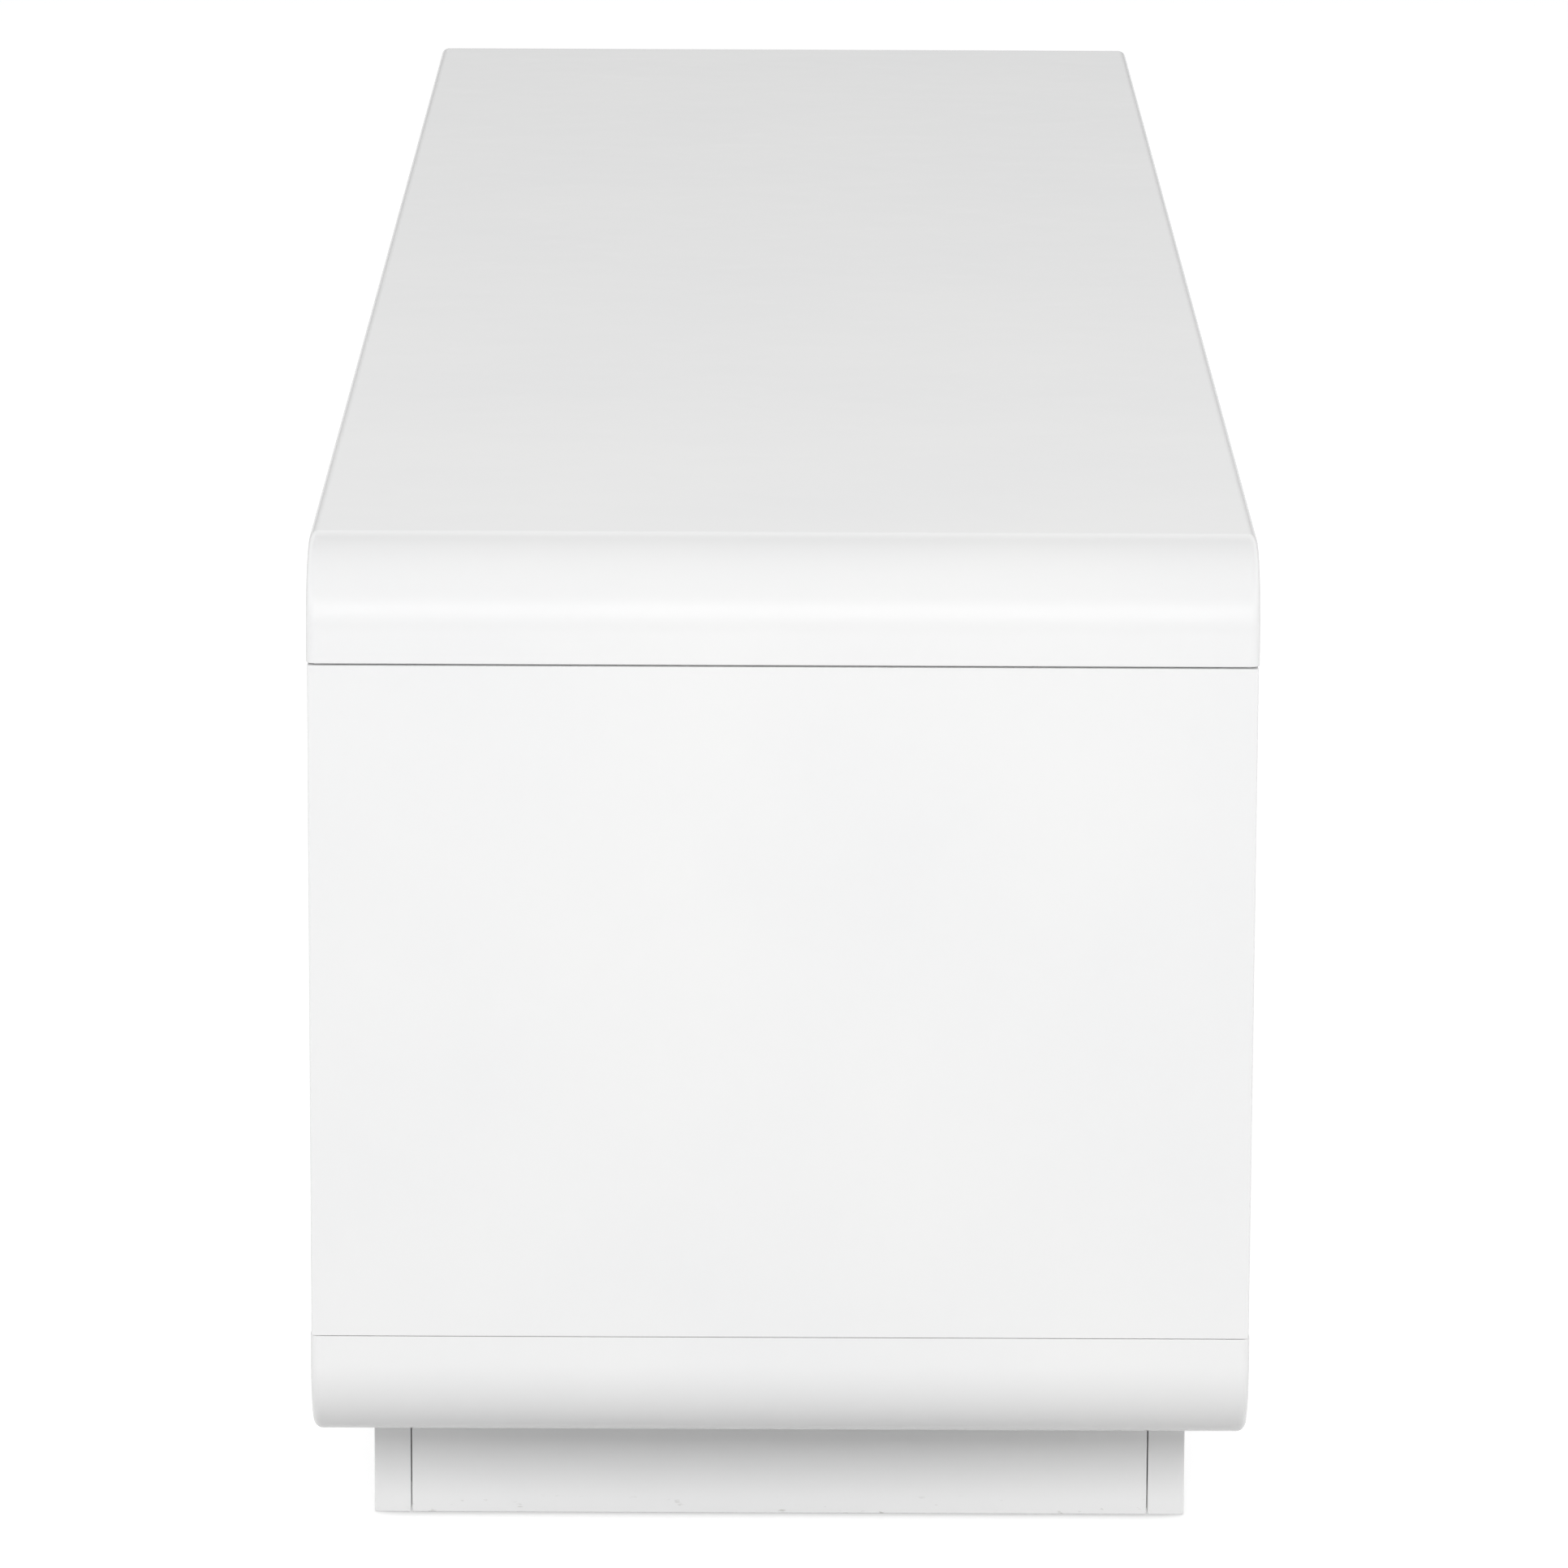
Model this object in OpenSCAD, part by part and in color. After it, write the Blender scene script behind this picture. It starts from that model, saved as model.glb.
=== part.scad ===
// Low television stand: two thick slabs with rounded ends, end panels between
// them, two hinged inset doors, an open middle bay and a set-back plinth.
// Millimetres. X runs along the length, the doors face -Y, Z is up and the
// origin is on the floor under the middle of the stand.

/* [Overall] */
// Length from end to end
length = 1600; // [1400:10:1900]
// Depth from front to back
depth = 400; // [380:5:450]
// Height from the floor to the top
height = 452; // [440:1:500]
// Thickness of the top and bottom slabs
slab_t = 50; // [46:1:56]
// Radius of the rounded slab ends
end_r = 38; // [25:1:44]

/* [Carcass] */
// Thickness of the end panels
end_t = 50; // [40:1:50]
// Thickness of the dividers between the bays
divider_t = 18; // [18:1:22]
// Clear width of each bay behind a door
door_bay_w = 480; // [420:5:520]
// Thickness of the shelves
shelf_t = 16; // [16:1:20]
// Thickness of the back panel
back_t = 6; // [5:1:8]
// Radius of the cable openings in the back panel
port_r = 30; // [25:1:32]

/* [Plinth] */
// Height of the plinth with its glides
plinth_h = 60; // [50:5:80]
// Distance from each end of the stand to the plinth
plinth_recess = 100; // [60:5:140]
// Distance from the front and back of the stand to the plinth
plinth_inset = 22.5; // [15:0.5:40]
// Thickness of the plinth boards
plinth_t = 16; // [15:1:18]

/* [Doors] */
// Thickness of the doors
door_t = 18; // [18:1:20]
// Gap beside the hinges
hinge_gap = 3; // [3:0.5:4]
// Gap around the other edges
door_gap = 2; // [2:0.5:3]

/* [Hidden] */
$fn = 48;
eps = 1;                       // how far a cutter runs past a face

white_gloss = [0.95, 0.95, 0.95];
white_matt = [0.90, 0.90, 0.89];
steel = [0.78, 0.78, 0.80];
zinc = [0.62, 0.63, 0.65];
beech = [0.80, 0.66, 0.46];
white_plastic = [0.88, 0.88, 0.88];

// Levels and faces
half_l = length / 2;
half_d = depth / 2;
bay_z0 = plinth_h + slab_t;    // top face of the bottom slab
bay_z1 = height - slab_t;      // underside of the top slab
bay_h = bay_z1 - bay_z0;
bay_mid_z = (bay_z0 + bay_z1) / 2;
lip = 0.5;                     // how far the slabs stand proud of the end panels
front_recess = 1;              // and of the doors and dividers
end_face_x = half_l - end_t;   // inner face of an end panel
divider_x0 = end_face_x - door_bay_w;   // divider face on the door side
divider_x1 = divider_x0 - divider_t;    // divider face on the middle side
top_seam = 0.7;                // shadow line under the top slab
bottom_seam = 0.3;             // shadow line on the bottom slab
seam_depth = 3;

// Back panel in its groove
groove_depth = 6.5;
groove_slack = 0.2;            // on each face of the panel
groove_end_slack = 0.5;        // between the panel's edge and the groove's floor
back_recess = 12;              // from the back of the slabs to the panel
back_y0 = half_d - back_recess - back_t;   // the panel's inner face
back_y1 = half_d - back_recess;            // its outer face
port_z = bay_z0 + 70;
grommet_wall = 4;
grommet_flange_r = port_r + 4;
grommet_flange_t = 2;
grommet_l = back_t + 3;        // from the flange to its inner end

// Fittings of the 32 mm system
cam_r = 7.5;
cam_depth = 12.5;
cam_edge = 34;                 // cam centre from the panel's edge
cam_axis = 8.5;                // bolt axis from the panel's face
cam_below = 0.3;               // the cam's face is this far below the panel's
cam_slot_l = 9;
cam_slot_w = 1.2;
cam_slot_depth = 2;
cam_channel_end = 3.6;         // the bolt's channel past the cam's middle
bolt_r = 3.5;
bolt_neck_r = 2.3;
bolt_head_r = 3.3;
bolt_head_l = 4;
bolt_neck_l = 9;
bolt_in_slab = 11;
bolt_end_gap = 0.5;
dowel_r = 4;
dowel_l = 30;
dowel_end_gap = 0.3;
fit_gap = 0.1;                 // slack of a fitting in its hole
cam_ys = [-150, 150];
dowel_ys = [-100, 100];
shelf_pin_r = 2.5;
shelf_pin_l = 16;
shelf_pin_depth = 8;
shelf_pin_ys = [-130, 130];
pin_pitch = 32;
shelf_front = 40;              // shelf edge behind the front of the slabs, clear of the swinging doors
shelf_back_gap = 15;           // slot for cables behind a shelf
shelf_slack = 1;
shelf_z0 = bay_mid_z - shelf_t / 2;

// Doors
door_h = bay_h - 2 * door_gap;
door_w = door_bay_w - hinge_gap - door_gap;
door_front = -half_d + front_recess;   // front face of a closed door
door_z0 = bay_z0 + door_gap;

// Single-pin cup hinge. u runs from the door's hinge edge towards its free edge,
// v from its front face towards the back.
hinge_edge = 55;               // hinge middle from the door's upper or lower edge
hinge_zs = [door_z0 + hinge_edge, door_z0 + door_h - hinge_edge];
pivot_u = 20;
pivot_v = 10;
pin_r = 1.5;
pin_half_l = 8.4;
running_gap = 0.05;            // between a turning or sliding face and its bore
cup_u = 22.5;
cup_r = 17.5;
cup_depth = 12.5;
cup_wall = 1.2;
cup_flange_t = 1.2;
cup_flange_half = [18.5, 20];    // half its size over the cup, in u and z
cup_ear_u = 2;                 // the screw ears start this far past the cup's middle
cup_screw_u = cup_u + 9.5;
cup_screw_z = 23;
cup_screw_edge = 6;            // from a screw's middle to the ear's end
cup_screw_l = 11;
cheek_t = 2;
cheek_gap = 0.5;               // between the arm and a cheek
cheek_half = 3.5;
cheek_top = 3;                 // above the pin's middle
arm_w = 12;
arm_t = 2.5;
arm_eye_r = 3;
arm_inner_r = 22.5;            // clears the door's edge as it swings
arm_web_angle = 40;
arm_slot_r = 2;
plate_t = 2;
plate_v0 = 46;
plate_v1 = 100;
plate_w = 30;
plate_ear = 7;                 // half the width of the plate's screw ears
plate_screw_z = 10;
plate_screw_v = 85;
plate_screw_l = 14;
clamp_v = 70;                  // the screw that clamps an arm to its plate
clamp_r = 1.9;
clamp_head_r = 3.6;
clamp_head_t = 1.6;
screw_r = 1.75;
screw_head_r = 3.3;
screw_head_t = 1;

// Push latch
latch_u = door_w - 36;
latch_w = 20;
latch_h = 16;
latch_v0 = 29;
latch_v1 = 84;
latch_z = bay_z1 - latch_h / 2;
latch_ear_t = 3;
latch_ear_w = 8;
latch_ear_v0 = latch_v0 + 6;
latch_ear_v1 = latch_v1 - 2;
latch_screw_u = latch_w / 2 + 4;
latch_screw_vs = [latch_v0 + 12, latch_v1 - 8];
latch_screw_l = 14;
latch_screw_head_r = 3;
strike_t = 1.2;
strike_r = 8;
strike_screw_l = 10;
magnet_gap = 0.3;              // between the magnet and the strike plate
magnet_r = 5;
magnet_t = 2;
plunger_v0 = door_t + strike_t + magnet_gap + magnet_t;
plunger_r = 3.5;
plunger_l = 32;
plunger_bore_l = 40;
spring_wire_r = 0.4;
spring_r = 2.6;                // to the middle of the wire
spring_turns = 8;
spring_end_gap = 0.1;
spring_l = latch_v0 + plunger_bore_l - plunger_v0 - plunger_l - 2 * (spring_wire_r + spring_end_gap);

// Plinth
glide_t = 2;
glide_r = 7;
glide_end = 40;                // from the plinth's end to its outer glides
plinth_half_l = half_l - plinth_recess;
plinth_half_d = half_d - plinth_inset;
joint_gap = 0.4;
block_side = 38;
block_h = 50;
cross_x = plinth_half_l / 3;
plinth_screw_xs = [-plinth_half_l + plinth_t + block_side / 2, plinth_half_l - plinth_t - block_side / 2];
plinth_screw_ys = [-plinth_half_d + plinth_t + block_side / 2, plinth_half_d - plinth_t - block_side / 2];
block_gap = 1;                 // between a corner block and the end board
plinth_screw_l = 74;
plinth_screw_r = 2.5;
plinth_screw_head_t = 2;
hole_end_gap = 1;              // of a hole past the tip of its screw

// A box given by its two corners
module block(low, high) {
    translate(low) cube(high - low);
}

// A cylinder along X, Y or Z that starts at p and has length l, which may be negative
module rod_x(p, r, l) {
    translate(p) rotate([0, l < 0 ? -90 : 90, 0]) cylinder(r = r, h = abs(l));
}
module rod_y(p, r, l) {
    translate(p) rotate([l < 0 ? 90 : -90, 0, 0]) cylinder(r = r, h = abs(l));
}
module rod_z(p, r, l) {
    translate(l < 0 ? p + [0, 0, l] : p) cylinder(r = r, h = abs(l));
}

// Draws its children as they are for the left side and mirrored for the right
module side(s) {
    mirror([s > 0 ? 1 : 0, 0, 0]) children();
}

// Places its children in the left door's own frame
module at_door() {
    translate([-end_face_x + hinge_gap, door_front, 0]) children();
}

// A screw with a flat round head. It points along -Y, and p is under its head.
module screw_y(p, l) {
    rod_y(p, screw_r, l);
    rod_y(p, screw_head_r, l < 0 ? screw_head_t : -screw_head_t);
}

// Outline of a slab: a thick board whose outer corners are round
module slab_outline() {
    difference() {
        translate([-half_l, 0]) square([length, slab_t]);
        for (s = [-1, 1])
            translate([s * (half_l - end_r), slab_t - end_r])
                difference() {
                    translate([s > 0 ? 0 : -end_r - eps, 0]) square(end_r + eps);
                    circle(r = end_r, $fn = 128);
                }
    }
}

module slab_board() {
    rotate([90, 0, 0]) linear_extrude(depth, center = true) slab_outline();
}

// Bolt and dowel places of one joint: an upright's bolt axis and middle
module joint_bores(bolt_x, middle_x, face_z, up) {
    for (y = cam_ys)
        rod_z([bolt_x, y, face_z - up * eps], bolt_r + fit_gap, up * (bolt_in_slab + eps));
    for (y = dowel_ys)
        rod_z([middle_x, y, face_z - up * eps], dowel_r + fit_gap, up * (dowel_l / 2 + eps));
}

// Every bore and groove in a slab's inner face. up is 1 in the top slab.
module slab_cuts(face_z, up) {
    for (s = [-1, 1]) {
        joint_bores(s * (end_face_x + cam_axis), s * (end_face_x + end_t / 2), face_z, up);
        joint_bores(s * (divider_x0 - cam_axis), s * (divider_x0 - divider_t / 2), face_z, up);
        side(s) at_door() latch_screw_places()
            if (up > 0) rod_z([0, 0, 0], screw_r, latch_screw_l - latch_ear_t + hole_end_gap);
    }
    groove_z0 = up > 0 ? face_z - eps : face_z - groove_depth;
    block([-end_face_x - groove_depth, back_y0 - groove_slack, groove_z0],
          [end_face_x + groove_depth, back_y1 + groove_slack, groove_z0 + groove_depth + eps]);
}

module top_slab() {
    color(white_gloss) difference() {
        translate([0, 0, bay_z1]) slab_board();
        slab_cuts(bay_z1, 1);
    }
}

module bottom_slab() {
    color(white_gloss) difference() {
        translate([0, 0, bay_z0]) mirror([0, 0, 1]) slab_board();
        slab_cuts(bay_z0, -1);
        for (x = plinth_screw_xs, y = plinth_screw_ys)
            rod_z([x, y, plinth_h - eps], plinth_screw_r, plinth_screw_l - block_h + eps + hole_end_gap);
    }
}

// Cam, bolt and dowel bores of an upright. face_x is the cams' face, and into
// is the way from that face into the board.
module upright_bores(face_x, into, middle_x) {
    for (up = [-1, 1]) {
        edge_z = up > 0 ? bay_z1 : bay_z0;
        for (y = cam_ys) {
            rod_x([face_x - into * eps, y, edge_z - up * cam_edge], cam_r + fit_gap, into * (cam_depth + eps));
            rod_z([face_x + into * cam_axis, y, edge_z + up * eps], bolt_r + fit_gap, -up * (cam_edge + eps));
        }
        for (y = dowel_ys)
            rod_z([middle_x, y, edge_z + up * eps], dowel_r + fit_gap, -up * (dowel_l / 2 + eps));
    }
}

// Rows of shelf pin holes, bored from face_x
module pin_rows(face_x, into) {
    for (y = shelf_pin_ys, i = [-1:1])
        rod_x([face_x - into * eps, y, shelf_z0 - shelf_pin_r + i * pin_pitch], shelf_pin_r + fit_gap,
              into * (shelf_pin_depth + eps));
}

module seam_cut(z0, z1) {
    difference() {
        block([-half_l - eps, -half_d - eps, z0], [-end_face_x + eps, half_d + eps, z1]);
        block([-half_l + seam_depth, -half_d + lip + seam_depth, z0 - eps],
              [-end_face_x + 2 * eps, half_d - lip - seam_depth, z1 + eps]);
    }
}

module end_panel(s) {
    color(white_gloss) side(s) difference() {
        block([-half_l, -half_d + lip, bay_z0], [-end_face_x, half_d - lip, bay_z1]);
        upright_bores(-end_face_x, -1, -end_face_x - end_t / 2);
        pin_rows(-end_face_x, -1);
        seam_cut(bay_z1 - top_seam, bay_z1 + eps);
        seam_cut(bay_z0 - eps, bay_z0 + bottom_seam);
        block([-end_face_x - groove_depth, back_y0 - groove_slack, bay_z0 - eps],
              [-end_face_x + eps, back_y1 + groove_slack, bay_z1 + eps]);
        at_door() plate_screw_places() rod_x([eps - hinge_gap, 0, 0], screw_r, -plate_screw_l - eps);
    }
}

module divider(s) {
    color(white_matt) side(s) difference() {
        block([-divider_x0, door_front, bay_z0], [-divider_x1, back_y0, bay_z1]);
        upright_bores(-divider_x0, 1, -divider_x0 + divider_t / 2);
        pin_rows(-divider_x0, 1);
        translate([0, 0, pin_pitch / 2]) pin_rows(-divider_x1, -1);
    }
}

// Middles of the three bays
port_xs = [-(end_face_x + divider_x0) / 2, 0, (end_face_x + divider_x0) / 2];

module back_panel() {
    reach = groove_depth - groove_end_slack;
    color(white_matt) difference() {
        block([-end_face_x - reach, back_y0, bay_z0 - reach], [end_face_x + reach, back_y1, bay_z1 + reach]);
        for (x = port_xs) rod_y([x, back_y0 - eps, port_z], port_r + fit_gap, back_t + 2 * eps);
    }
}

module cable_grommet(x) {
    color(white_plastic) difference() {
        union() {
            rod_y([x, back_y1 + grommet_flange_t, port_z], port_r, -grommet_l - grommet_flange_t);
            rod_y([x, back_y1, port_z], grommet_flange_r, grommet_flange_t);
        }
        rod_y([x, back_y1 - grommet_l - eps, port_z], port_r - grommet_wall,
              grommet_l + grommet_flange_t + 2 * eps);
    }
}

module shelf_board(x0, x1, z0) {
    color(white_matt)
        block([x0 + shelf_slack, -half_d + shelf_front, z0],
              [x1 - shelf_slack, back_y0 - shelf_back_gap, z0 + shelf_t]);
}

// Four pins under a shelf that spans x0 to x1
module pin_set(x0, x1, z0) {
    color(zinc) for (y = shelf_pin_ys) {
        rod_x([x0 - shelf_pin_depth, y, z0 - shelf_pin_r], shelf_pin_r, shelf_pin_l);
        rod_x([x1 + shelf_pin_depth, y, z0 - shelf_pin_r], shelf_pin_r, -shelf_pin_l);
    }
}
middle_shelf_z0 = shelf_z0 + pin_pitch / 2;

// Draws its children once for each cam, with z up along the bolt and x into the board
module at_cams() {
    for (s = [-1, 1], end_side = [true, false], y = cam_ys, up = [-1, 1]) {
        face_x = end_side ? -end_face_x : -divider_x0;
        side(s) translate([face_x, y, up > 0 ? bay_z1 : bay_z0])
            mirror([end_side ? 1 : 0, 0, 0]) mirror([0, 0, up > 0 ? 0 : 1]) children();
    }
}

module cam_locks() {
    slot_l = cam_slot_l / 2;
    slot_w = cam_slot_w / 2;
    color(zinc) at_cams() difference() {
        rod_x([cam_below, 0, -cam_edge], cam_r, cam_depth - cam_below - fit_gap);
        rod_z([cam_axis, 0, -cam_edge - cam_channel_end], bolt_r + 3 * fit_gap, cam_r + 2 * cam_channel_end);
        block([0, -slot_w, -cam_edge - slot_l], [cam_slot_depth, slot_w, -cam_edge + slot_l]);
        block([0, -slot_l, -cam_edge - slot_w], [cam_slot_depth, slot_l, -cam_edge + slot_w]);
    }
}

module cam_bolts() {
    color(steel) at_cams() {
        rod_z([cam_axis, 0, bolt_neck_l - cam_edge], bolt_r,
              cam_edge - bolt_neck_l + bolt_in_slab - bolt_end_gap);
        rod_z([cam_axis, 0, -cam_edge], bolt_neck_r, bolt_neck_l + eps);
        rod_z([cam_axis, 0, -cam_edge - bolt_head_l / 2], bolt_head_r, bolt_head_l);
    }
}

module dowels() {
    l = dowel_l - 2 * dowel_end_gap;
    middles = [end_face_x + end_t / 2, divider_x0 - divider_t / 2];
    color(beech) for (s = [-1, 1], x = middles, y = dowel_ys, z = [bay_z0, bay_z1])
        rod_z([s * x, y, z - l / 2], dowel_r, l);
}

module plinth_long_board(s) {
    color(white_gloss)
        block([-plinth_half_l, s > 0 ? plinth_half_d - plinth_t : -plinth_half_d, glide_t],
              [plinth_half_l, s > 0 ? plinth_half_d : -plinth_half_d + plinth_t, plinth_h]);
}

module plinth_short_board(x0) {
    color(white_gloss)
        block([x0, -plinth_half_d + plinth_t + joint_gap, glide_t],
              [x0 + plinth_t, plinth_half_d - plinth_t - joint_gap, plinth_h]);
}

module plinth_corner_blocks() {
    color(beech) for (x = plinth_screw_xs, y = plinth_screw_ys)
        difference() {
            block([x - block_side / 2 + block_gap, y - block_side / 2, plinth_h - block_h],
                  [x + block_side / 2 - block_gap, y + block_side / 2, plinth_h]);
            rod_z([x, y, plinth_h - block_h - eps], plinth_screw_r, block_h + 2 * eps);
        }
}

module plinth_screws() {
    color(zinc) for (x = plinth_screw_xs, y = plinth_screw_ys) {
        rod_z([x, y, plinth_h - block_h], plinth_screw_r, plinth_screw_l);
        rod_z([x, y, plinth_h - block_h], 2 * plinth_screw_r, -plinth_screw_head_t);
    }
}

module plinth_glides() {
    color(white_plastic)
        for (x = [glide_end - plinth_half_l, 0, plinth_half_l - glide_end], s = [-1, 1])
            rod_z([x, s * (plinth_half_d - plinth_t / 2), 0], glide_r, glide_t);
}

// Screw places on the door's rear face, two for each cup, and beside each plate
module cup_screw_places() {
    for (z = hinge_zs, k = [-1, 1])
        translate([cup_screw_u, door_t, z + k * cup_screw_z]) children();
}
module plate_screw_places() {
    for (z = hinge_zs, k = [-1, 1])
        translate([0, plate_screw_v, z + k * plate_screw_z]) children();
}
module latch_screw_places() {
    for (v = latch_screw_vs, k = [-1, 1])
        translate([latch_u + k * latch_screw_u, v, bay_z1]) children();
}

module door(s) {
    color(white_gloss) side(s) at_door() difference() {
        block([0, 0, door_z0], [door_w, door_t, door_z0 + door_h]);
        for (z = hinge_zs)
            rod_y([cup_u, door_t + eps, z], cup_r + fit_gap, -cup_depth - eps);
        cup_screw_places() rod_y([0, eps, 0], screw_r, -cup_screw_l - eps);
        rod_y([latch_u, door_t + eps, latch_z], screw_r, -strike_screw_l - eps - hole_end_gap);
    }
}

// The cup with its flange and the two cheeks that hold the pin
module hinge_cup(z) {
    floor_v = door_t - cup_depth;
    cheek_z = arm_w / 2 + cheek_gap;
    cheek_zs = [-cheek_z - cheek_t, cheek_z];
    flange_v = door_t + cup_flange_t;
    ear_z = cup_screw_z + cup_screw_edge;
    half = cup_flange_half;
    difference() {
        union() {
            difference() {
                union() {
                    rod_y([cup_u, floor_v, z], cup_r, cup_depth);
                    block([cup_u - half.x, door_t, z - half.y], [cup_u + half.x, flange_v, z + half.y]);
                    block([cup_u + cup_ear_u, door_t, z - ear_z], [cup_u + half.x, flange_v, z + ear_z]);
                }
                rod_y([cup_u, floor_v + cup_wall, z], cup_r - cup_wall, cup_depth + 2 * eps);
            }
            for (cz = cheek_zs)
                block([pivot_u - cheek_half, floor_v + cup_wall / 2, z + cz],
                      [pivot_u + cheek_half, pivot_v + cheek_top, z + cz + cheek_t]);
        }
        rod_z([pivot_u, pivot_v, z - arm_w], pin_r, 2 * arm_w);
        for (k = [-1, 1])
            rod_y([cup_screw_u, door_t - eps, z + k * cup_screw_z], screw_r, cup_flange_t + 2 * eps);
    }
}

// The fixed arm: an eye on the pin, a gooseneck round the door's edge and a foot
module hinge_arm(z) {
    outer_r = arm_inner_r + arm_t;
    foot_u0 = -hinge_gap + plate_t;
    translate([0, 0, z - arm_w / 2]) difference() {
        linear_extrude(arm_w) union() {
            translate([pivot_u, pivot_v]) {
                circle(r = arm_eye_r);
                rotate(arm_web_angle) translate([0, -arm_t / 2]) square([(arm_inner_r + outer_r) / 2, arm_t]);
                intersection() {
                    difference() {
                        circle(r = outer_r, $fn = 96);
                        circle(r = arm_inner_r, $fn = 96);
                    }
                    polygon([[0, 0], outer_r * 2 * [cos(arm_web_angle), sin(arm_web_angle)], [0, outer_r * 2]]);
                }
            }
            polygon([
                [pivot_u, pivot_v + arm_inner_r], [pivot_u, pivot_v + outer_r],
                [foot_u0 + arm_t, plate_v0 + 8], [foot_u0 + arm_t, plate_v1 - 4],
                [foot_u0, plate_v1 - 4], [foot_u0, plate_v0 + 6]
            ]);
        }
        translate([pivot_u, pivot_v, -eps]) cylinder(r = pin_r + running_gap, h = arm_w + 2 * eps);
        rod_x([foot_u0 - eps, clamp_v, arm_w / 2], arm_slot_r, arm_t + 2 * eps);
    }
}

module hinge_cups(s) {
    color(steel) side(s) at_door() for (z = hinge_zs) hinge_cup(z);
}
module hinge_pins(s) {
    color(zinc) side(s) at_door() for (z = hinge_zs)
        rod_z([pivot_u, pivot_v, z - pin_half_l], pin_r, 2 * pin_half_l);
}
module cup_screws(s) {
    color(zinc) side(s) at_door() cup_screw_places() screw_y([0, cup_flange_t, 0], -cup_screw_l);
}
module hinge_arms(s) {
    color(steel) side(s) at_door() for (z = hinge_zs) hinge_arm(z);
}
module hinge_plates(s) {
    color(steel) side(s) at_door() for (z = hinge_zs)
        difference() {
            union() {
                block([-hinge_gap, plate_v0, z - arm_w / 2], [-hinge_gap + plate_t, plate_v1, z + arm_w / 2]);
                block([-hinge_gap, plate_screw_v - plate_ear, z - plate_w / 2],
                      [-hinge_gap + plate_t, plate_screw_v + plate_ear, z + plate_w / 2]);
            }
            for (k = [-1, 1])
                rod_x([-hinge_gap - eps, plate_screw_v, z + k * plate_screw_z], screw_r, plate_t + 2 * eps);
        }
}
module plate_screws(s) {
    color(zinc) side(s) at_door() plate_screw_places() {
        rod_x([-hinge_gap + plate_t, 0, 0], screw_r, -plate_screw_l);
        rod_x([-hinge_gap + plate_t, 0, 0], screw_head_r, screw_head_t);
    }
}
// The screw that clamps each arm to its plate
module adjuster_screws(s) {
    foot_face = -hinge_gap + plate_t + arm_t;
    color(zinc) side(s) at_door() for (z = hinge_zs) {
        rod_x([foot_face, clamp_v, z], clamp_r, fit_gap - arm_t);
        rod_x([foot_face, clamp_v, z], clamp_head_r, clamp_head_t);
    }
}

module latch_body(s) {
    half_w = latch_w / 2;
    color(white_plastic) side(s) at_door() difference() {
        union() {
            block([latch_u - half_w, latch_v0, bay_z1 - latch_h], [latch_u + half_w, latch_v1, bay_z1]);
            block([latch_u - half_w - latch_ear_w, latch_ear_v0, bay_z1 - latch_ear_t],
                  [latch_u + half_w + latch_ear_w, latch_ear_v1, bay_z1]);
        }
        rod_y([latch_u, latch_v0 - eps, latch_z], plunger_r + running_gap, plunger_bore_l + eps);
        latch_screw_places() rod_z([0, 0, eps], screw_r, -latch_ear_t - 2 * eps);
    }
}
module latch_plunger(s) {
    color(white_plastic) side(s) at_door()
        rod_y([latch_u, plunger_v0, latch_z], plunger_r, plunger_l);
}
// One closed coil of round wire, wound along +Y from the back of the plunger
function ring_point(turn, angle) =
    let(r = spring_r + spring_wire_r * cos(angle), pitch = spring_l / spring_turns)
    [r * cos(turn * 360), spring_wire_r * sin(angle) + turn * pitch, r * sin(turn * 360)];
module coil() {
    sides = 8;
    steps = 10 * spring_turns;
    points = [for (i = [0:steps], j = [0:sides - 1]) ring_point(i / 10, j * 360 / sides)];
    walls = [for (i = [0:steps - 1], j = [0:sides - 1])
        [i * sides + j, (i + 1) * sides + j, (i + 1) * sides + (j + 1) % sides, i * sides + (j + 1) % sides]];
    caps = [[for (j = [0:sides - 1]) j], [for (j = [sides - 1:-1:0]) steps * sides + j]];
    polyhedron(points, concat(walls, caps), convexity = 8);
}
module latch_spring(s) {
    color(steel) side(s) at_door()
        translate([latch_u, plunger_v0 + plunger_l + spring_wire_r + spring_end_gap, latch_z]) coil();
}
module latch_magnet(s) {
    color(steel) side(s) at_door() rod_y([latch_u, plunger_v0 - magnet_t, latch_z], magnet_r, magnet_t);
}
module strike_plate(s) {
    color(zinc) side(s) at_door() {
        rod_y([latch_u, door_t, latch_z], strike_r, strike_t);
        rod_y([latch_u, door_t, latch_z], screw_r, -strike_screw_l);
    }
}
module latch_screws(s) {
    color(zinc) side(s) at_door() latch_screw_places() {
        rod_z([0, 0, -latch_ear_t], screw_r, latch_screw_l);
        rod_z([0, 0, -latch_ear_t], latch_screw_head_r, -screw_head_t);
    }
}

top_slab();
bottom_slab();
end_panel(-1);  // left_end_panel
end_panel(1);  // right_end_panel
divider(-1);  // left_divider
divider(1);  // right_divider
back_panel();
cable_grommet(port_xs[0]);  // left_cable_grommet
cable_grommet(port_xs[1]);  // middle_cable_grommet
cable_grommet(port_xs[2]);  // right_cable_grommet
shelf_board(-end_face_x, -divider_x0, shelf_z0);  // left_shelf
shelf_board(-divider_x1, divider_x1, middle_shelf_z0);  // middle_shelf
shelf_board(divider_x0, end_face_x, shelf_z0);  // right_shelf
pin_set(-end_face_x, -divider_x0, shelf_z0);  // left_shelf_pins
pin_set(-divider_x1, divider_x1, middle_shelf_z0);  // middle_shelf_pins
pin_set(divider_x0, end_face_x, shelf_z0);  // right_shelf_pins
cam_locks();
cam_bolts();
dowels();
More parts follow.
